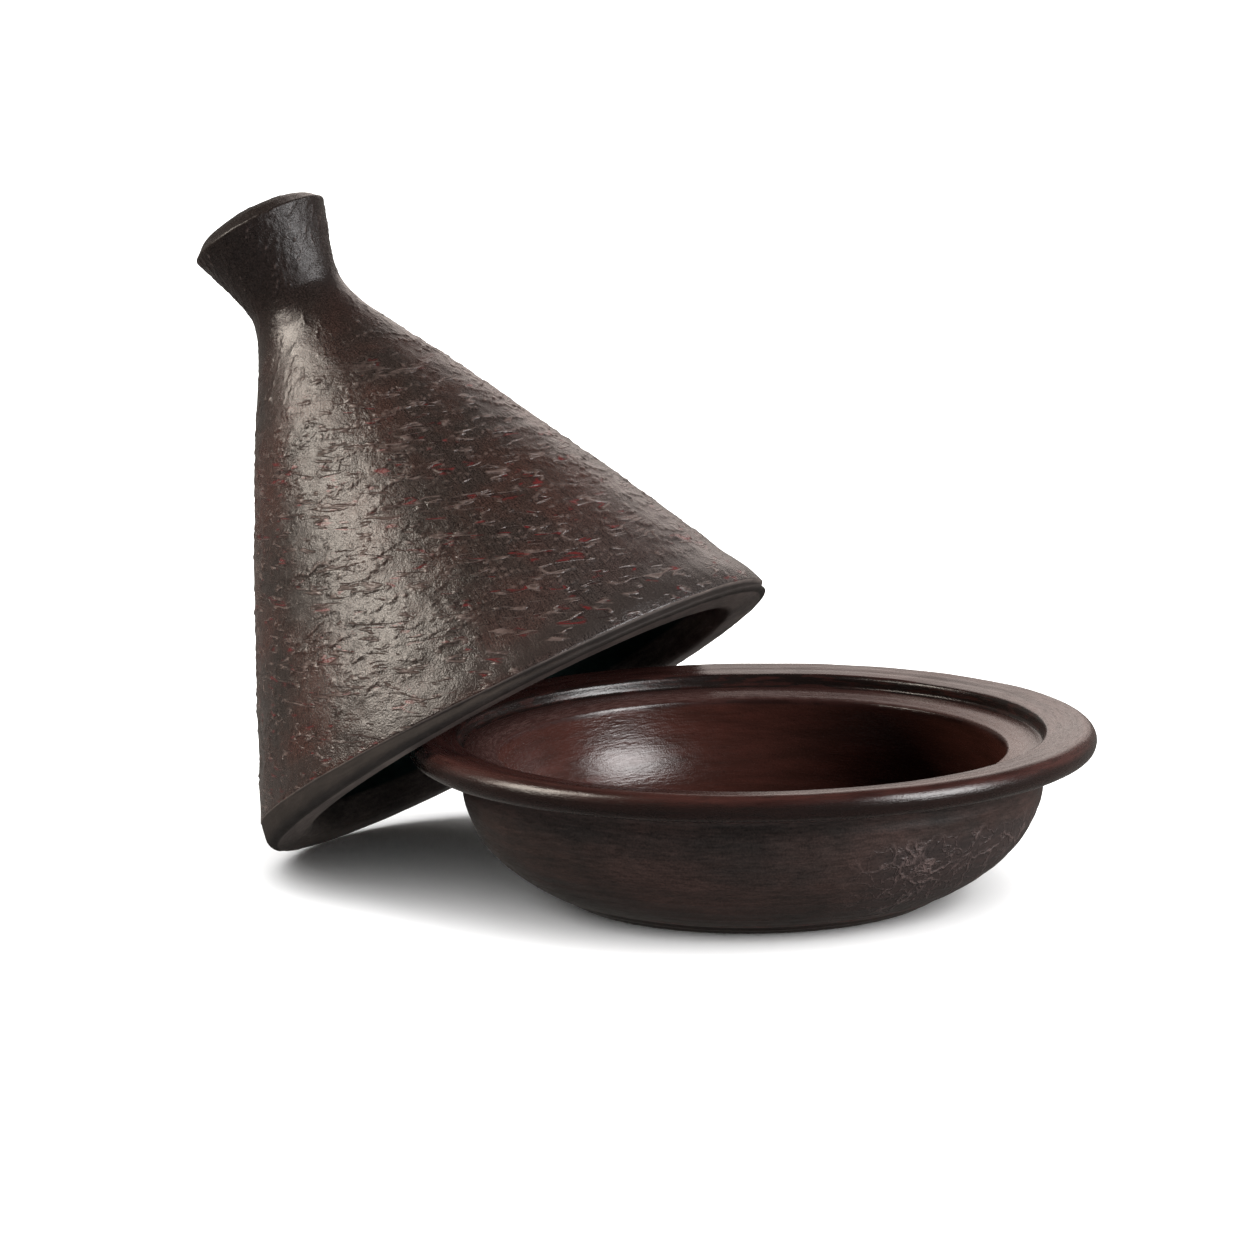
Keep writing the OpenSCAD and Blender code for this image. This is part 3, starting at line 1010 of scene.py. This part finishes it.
def linked(lamp, name, location, direction, receivers):
    """Places a lamp that looks along a direction and lights only the receivers."""
    obj = bpy.data.objects.new(name, lamp)
    obj.location = location
    obj.rotation_mode = "QUATERNION"
    obj.rotation_quaternion = facing(direction)
    obj.visible_camera = False
    bpy.context.scene.collection.objects.link(obj)
    group = bpy.data.collections.new(name + "_lights")
    for receiver in receivers:
        group.objects.link(receiver)
    obj.light_linking.receiver_collection = group


def softbox(name, turn, rise, size, radiance, colour, receivers):
    """A rectangular lamp that faces the object. size is its width and height in metres."""
    lamp = bpy.data.lights.new(name, "AREA")
    lamp.shape = "RECTANGLE"
    lamp.size, lamp.size_y = size
    lamp.energy = radiance * math.pi * size[0] * size[1]
    lamp.color = colour
    toward = bearing(turn, rise)
    linked(lamp, name, AIM + toward * BOX_DISTANCE, -toward, receivers)


def soft_sun(name, turn, rise, strength, spread, receivers):
    """A sun whose light spreads over an angle in degrees."""
    lamp = bpy.data.lights.new(name, "SUN")
    lamp.energy = strength
    lamp.angle = math.radians(spread)
    toward = bearing(turn, rise)
    linked(lamp, name, toward * SUN_DISTANCE, -toward, receivers)


def make_world(front, back, top):
    """Soft light from all round, with its strength on the camera's side, on the far side and from above."""
    world = bpy.data.worlds.new("studio")
    world.use_nodes = True
    tree = world.node_tree
    background = tree.nodes["Background"]
    direction = tree.nodes.new("ShaderNodeTexCoord").outputs["Generated"]

    def share(axis):
        dot = tree.nodes.new("ShaderNodeVectorMath")
        dot.operation = "DOT_PRODUCT"
        tree.links.new(direction, dot.inputs[0])
        dot.inputs[1].default_value = axis
        return dot.outputs["Value"]

    def spread(value, low, high, out_low, out_high):
        n = tree.nodes.new("ShaderNodeMapRange")
        n.interpolation_type = "SMOOTHSTEP"
        for key, number in zip(("Value", "From Min", "From Max", "To Min", "To Max"),
                               (value, low, high, out_low, out_high)):
            if isinstance(number, bpy.types.NodeSocket):
                tree.links.new(number, n.inputs[key])
            else:
                n.inputs[key].default_value = number
        return n.outputs[0]

    around = spread(share(bearing(0, 0)), -0.85, 0.5, back, front)
    strength = spread(share((0, 0, 1)), 0.3, 0.85, around, top)
    tree.links.new(strength, background.inputs["Strength"])
    background.inputs["Color"].default_value = WORLD_WHITE
    bpy.context.scene.world = world


def make_floor():
    """A plain white floor. The clay doesn't reflect it, so the undersides stay as dark as in the photo."""
    f = FLOOR_HALF
    mesh = bpy.data.meshes.new("floor")
    mesh.from_pydata([(-f, -f, 0), (f, -f, 0), (f, f, 0), (-f, f, 0)], [], [(0, 1, 2, 3)])
    floor = bpy.data.objects.new("floor", mesh)
    bpy.context.scene.collection.objects.link(floor)
    p = Paint("floor_white")
    p.shader.inputs["Base Color"].default_value = FLOOR_WHITE
    p.shader.inputs["Roughness"].default_value = 0.9
    p.shader.inputs["Specular IOR Level"].default_value = 0.0
    mesh.materials.append(p.material)
    floor.visible_glossy = False
    return floor


def make_stage():
    floor = make_floor()
    clay = (cone, knob, dish)
    softbox("left_box", turn=-86, rise=36, size=(0.9, 1.2), radiance=31.0, colour=WARM_WHITE, receivers=clay)
    softbox("right_box", turn=67, rise=24, size=(1.1, 1.3), radiance=32.0, colour=NEAR_WHITE, receivers=clay)
    softbox("back_box", turn=174, rise=20, size=(1.3, 1.3), radiance=1.35, colour=ROSE_WHITE, receivers=clay)
    soft_sun("floor_dome", turn=10, rise=70, strength=6.2, spread=120, receivers=(floor,))
    soft_sun("floor_right", turn=62, rise=42, strength=2.8, spread=60, receivers=(floor,))
    soft_sun("floor_back", turn=170, rise=40, strength=0.4, spread=40, receivers=(floor,))
    make_world(front=0.08, back=0.25, top=0.08)


def make_camera():
    """The camera that took the photo, as fitted to the outlines of both pieces."""
    heading = math.radians(-31.245)
    tilt = math.radians(10.498)
    roll = math.radians(-0.7386)
    ahead, down = math.cos(tilt), math.sin(tilt)
    camera = bpy.data.objects.new("camera", bpy.data.cameras.new("camera"))
    camera.data.lens = 185.3
    camera.data.sensor_width = 36.0
    camera.location = (1.28495, -2.21606, 0.58644)
    camera.rotation_mode = "QUATERNION"
    forward = (math.sin(heading) * ahead, math.cos(heading) * ahead, -down)
    camera.rotation_quaternion = facing(forward) @ Quaternion((0, 0, 1), roll)
    bpy.context.scene.collection.objects.link(camera)
    bpy.context.scene.camera = camera


make_camera()
make_stage()
bpy.context.scene.view_settings.view_transform = "Standard"
